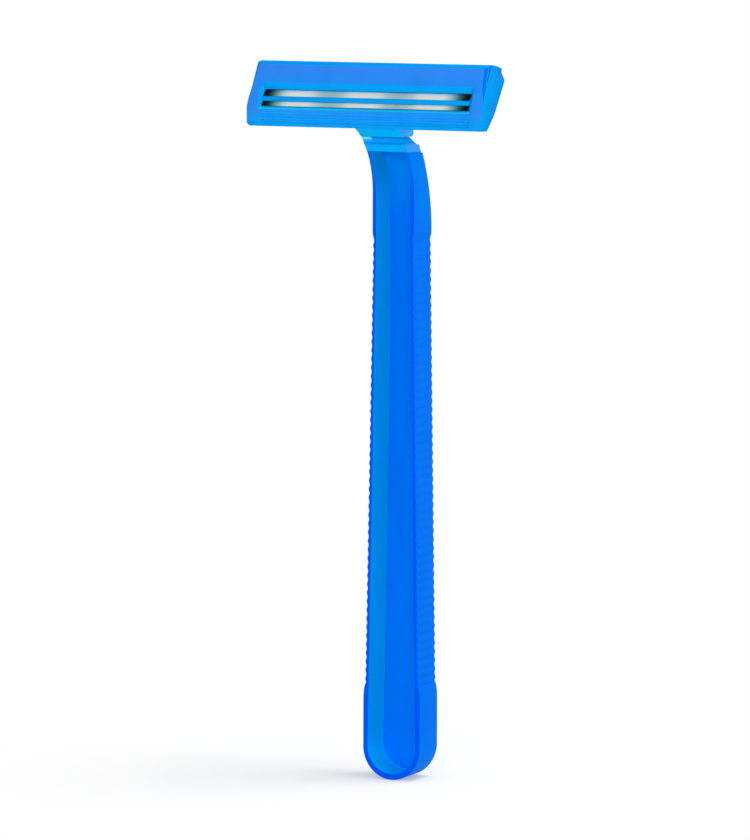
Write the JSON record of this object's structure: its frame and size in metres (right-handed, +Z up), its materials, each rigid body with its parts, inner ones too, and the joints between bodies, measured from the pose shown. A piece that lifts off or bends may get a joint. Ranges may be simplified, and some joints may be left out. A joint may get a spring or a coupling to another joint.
{
  "type": "disposable razor",
  "caption": "Disposable razor: a ribbed channel handle, bent at the neck, carries a fixed head that holds steel blades and a spacer between a grooved guard platform and a wedge cap.",
  "frame": {"origin": "on the surface that the butt stands on, under the middle of the razor's width and depth", "axes": "+Z up the handle towards the head, -Y the side that shaves, X along the blades"},
  "size_m": [0.0422, 0.0188, 0.1192],
  "materials": {
    "handle_plastic": "smooth moulded, slightly translucent blue",
    "platform_plastic": "smooth moulded, slightly translucent light blue",
    "cap_plastic": "smooth moulded light blue",
    "spacer_plastic": "smooth moulded light blue",
    "leading_blade_steel": "polished strip",
    "trailing_blade_steel": "polished strip"
  },
  "bodies": {
    "root": {"handle": "handle_plastic", "platform": "platform_plastic", "leading_blade": "leading_blade_steel", "blade_spacer": "spacer_plastic", "trailing_blade": "trailing_blade_steel", "cap": "cap_plastic"}
  },
  "joints": []
}
